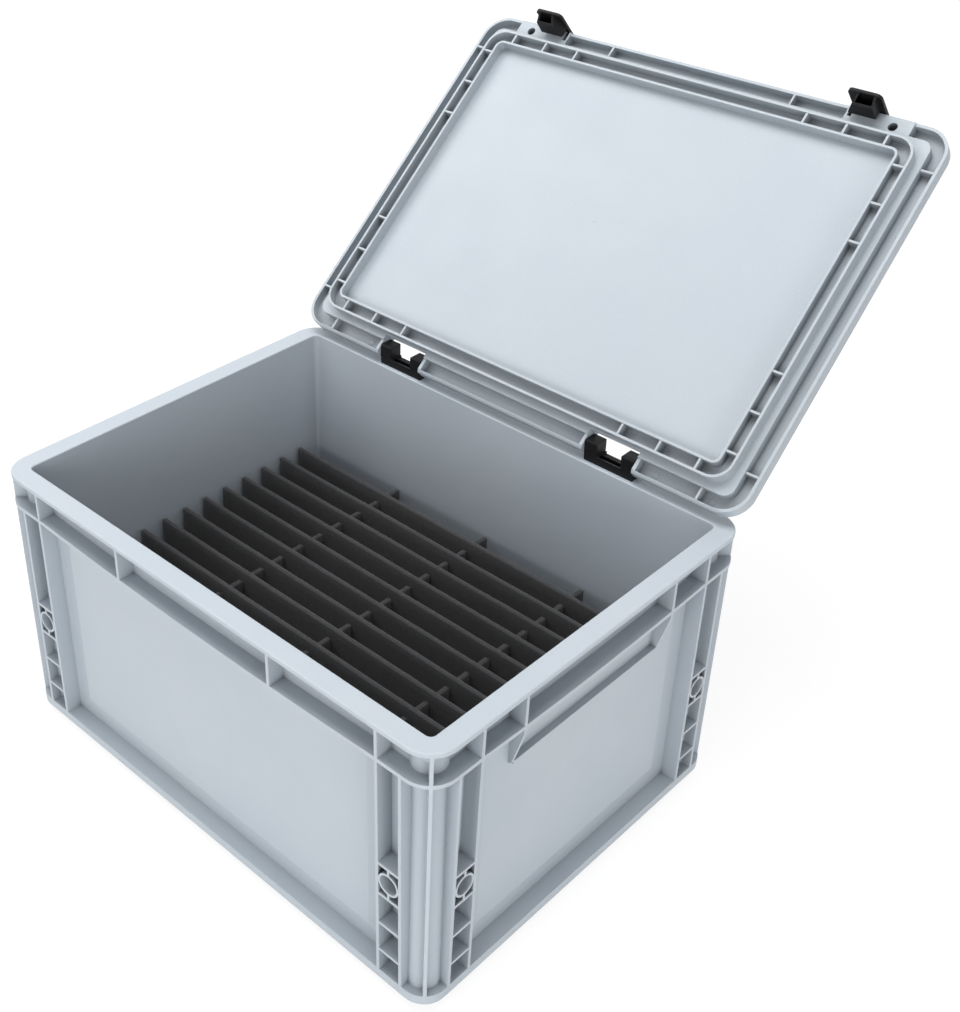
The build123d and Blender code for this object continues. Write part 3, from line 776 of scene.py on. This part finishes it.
@dataclass
class Container:
    """Moulded body and lid, with the black hardware that joins them."""

    nodes: dict[str, bpy.types.Object]
    body: tuple[str, ...] = ("box_body",)
    lid: tuple[str, ...] = ("lid",)
    hardware: tuple[str, ...] = ("hinge_left", "hinge_right", "catch_left", "catch_right")

    def build(self) -> None:
        """Dress the body, the lid, the hinges and the catches."""
        finishes = (
            (Slot.BODY, BODY_GREY, self.body),
            (Slot.LID, LID_GREY, self.lid),
            (Slot.BLACK, HARDWARE_BLACK, self.hardware),
        )
        for slot, finish, names in finishes:
            material = finish.build()
            for name in names:
                dress(self.nodes[name], material)
            LOG.info("dressed %s as %s", ", ".join(names), slot.value)


@dataclass(frozen=True)
class SoftBox:
    """A large soft lamp aimed at a point."""

    name: str
    place: Vector
    size: float
    watts: float

    def build(self, target: Vector) -> None:
        """Add the lamp.

        Args:
            target: Point that the lamp faces.
        """
        data = bpy.data.lights.new(self.name, "AREA")
        data.shape = "DISK"
        data.size = self.size
        data.energy = self.watts
        lamp = bpy.data.objects.new(self.name, data)
        lamp.location = self.place
        lamp.rotation_euler = (target - self.place).to_track_quat("-Z", "Y").to_euler()
        bpy.context.scene.collection.objects.link(lamp)


@dataclass(frozen=True)
class Studio:
    """White studio: floor, world, soft lamps and the camera."""

    floor_size: float = 16.0
    floor_grey: float = 0.86
    ambient: float = 0.28
    floor_white: float = 0.82
    floor_glow: float = 1.08
    fade_start: float = 0.9
    fade_end: float = 2.2
    target: Vector = Vector((0.0, 0.05, 0.15))
    camera_place: Vector = Vector((0.577485, -0.582369, 0.766889))
    camera_turn: tuple[float, float, float] = (60.909, 0.061, 44.727)
    lens: float = 56.01
    sensor: float = 36.0
    shift: tuple[float, float] = (0.1229, -0.1531)
    lamps: tuple[SoftBox, ...] = (
        SoftBox("overhead", Vector((0.0, 0.0, 2.4)), 1.6, 34.5),
        SoftBox("near_left", Vector((-1.0, -0.1, 1.3)), 1.0, 8.5),
        SoftBox("front", Vector((0.2, -2.3, 0.8)), 1.2, 21.0),
        SoftBox("right", Vector((2.3, -0.3, 0.7)), 1.2, 6.0),
        SoftBox("low_right", Vector((1.9, -0.9, 0.25)), 1.0, 14.0),
        SoftBox("rear", Vector((-0.6, 1.8, 1.6)), 1.2, 5.5),
    )

    def seen_rays(self, graph: Graph) -> bpy.types.NodeSocket:
        """Share of rays that see the background itself: camera, glossy and transmission rays.

        Args:
            graph: Material or world graph to add the nodes to.

        Returns:
            Socket that is 1 for those rays and 0 for the others.
        """
        path = graph.node("ShaderNodeLightPath")
        total = path.outputs["Is Camera Ray"]
        for name in ("Is Glossy Ray", "Is Transmission Ray"):
            either = graph.node("ShaderNodeMath", operation="MAXIMUM")
            graph.link(total, either.inputs[0])
            graph.link(path.outputs[name], either.inputs[1])
            total = either.outputs["Value"]
        return total

    def floor(self) -> None:
        """Pale floor that keeps the object's shadow and fades to white away from it."""
        material = bpy.data.materials.new("studio_floor")
        graph = Graph(material)
        diffuse = graph.node("ShaderNodeBsdfDiffuse")
        diffuse.inputs["Color"].default_value = (*[self.floor_grey] * 3, 1.0)
        glow = graph.node("ShaderNodeEmission")
        glow.inputs["Strength"].default_value = self.floor_glow
        away = graph.node("ShaderNodeVectorMath", operation="LENGTH")
        graph.link(graph.node("ShaderNodeTexCoord").outputs["Object"], away.inputs[0])
        whiteness = graph.remap(
            away.outputs["Value"], self.fade_start, self.fade_end, self.floor_white, 1.0
        )
        share = graph.node("ShaderNodeMath", operation="MULTIPLY")
        graph.link(self.seen_rays(graph), share.inputs[0])
        graph.link(whiteness, share.inputs[1])
        blend = graph.node("ShaderNodeMixShader")
        graph.link(share.outputs["Value"], blend.inputs["Fac"])
        graph.link(diffuse.outputs["BSDF"], blend.inputs[1])
        graph.link(glow.outputs["Emission"], blend.inputs[2])
        output = graph.node("ShaderNodeOutputMaterial")
        graph.link(blend.outputs["Shader"], output.inputs["Surface"])
        half = self.floor_size / 2
        corners = [(-half, -half, 0.0), (half, -half, 0.0), (half, half, 0.0), (-half, half, 0.0)]
        data = bpy.data.meshes.new("studio_floor")
        data.from_pydata(corners, [], [(0, 1, 2, 3)])
        data.materials.append(material)
        plane = bpy.data.objects.new("studio_floor", data)
        bpy.context.scene.collection.objects.link(plane)

    def world(self) -> None:
        """White surroundings: full white where they are seen, gentler where they only light."""
        world = bpy.data.worlds.new("studio")
        bpy.context.scene.world = world
        graph = Graph(world)
        lit = graph.node("ShaderNodeBackground")
        seen = graph.node("ShaderNodeBackground")
        for background, strength in ((lit, self.ambient), (seen, 1.0)):
            background.inputs["Color"].default_value = (1.0, 1.0, 1.0, 1.0)
            background.inputs["Strength"].default_value = strength
        blend = graph.node("ShaderNodeMixShader")
        graph.link(self.seen_rays(graph), blend.inputs["Fac"])
        graph.link(lit.outputs["Background"], blend.inputs[1])
        graph.link(seen.outputs["Background"], blend.inputs[2])
        output = graph.node("ShaderNodeOutputWorld")
        graph.link(blend.outputs["Shader"], output.inputs["Surface"])

    def camera(self) -> None:
        """Camera that looks down into the open box over its front right corner."""
        data = bpy.data.cameras.new("camera")
        data.sensor_fit = "HORIZONTAL"
        data.sensor_width = self.sensor
        data.lens = self.lens
        data.shift_x, data.shift_y = self.shift
        camera = bpy.data.objects.new("camera", data)
        camera.location = self.camera_place
        camera.rotation_euler = Euler([math.radians(angle) for angle in self.camera_turn], "XYZ")
        bpy.context.scene.collection.objects.link(camera)
        bpy.context.scene.camera = camera

    def build(self) -> None:
        """Set up the whole studio."""
        self.floor()
        self.world()
        for lamp in self.lamps:
            lamp.build(self.target)
        self.camera()
        bpy.context.scene.view_settings.view_transform = "Standard"


def main() -> None:
    """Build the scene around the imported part."""
    logging.basicConfig(level=logging.INFO)
    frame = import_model()
    Container(frame["nodes"]).build()
    FoamInsert(frame["nodes"], INSERT_BLACK.build()).build()
    Studio().build()


if __name__ == "__main__":
    main()
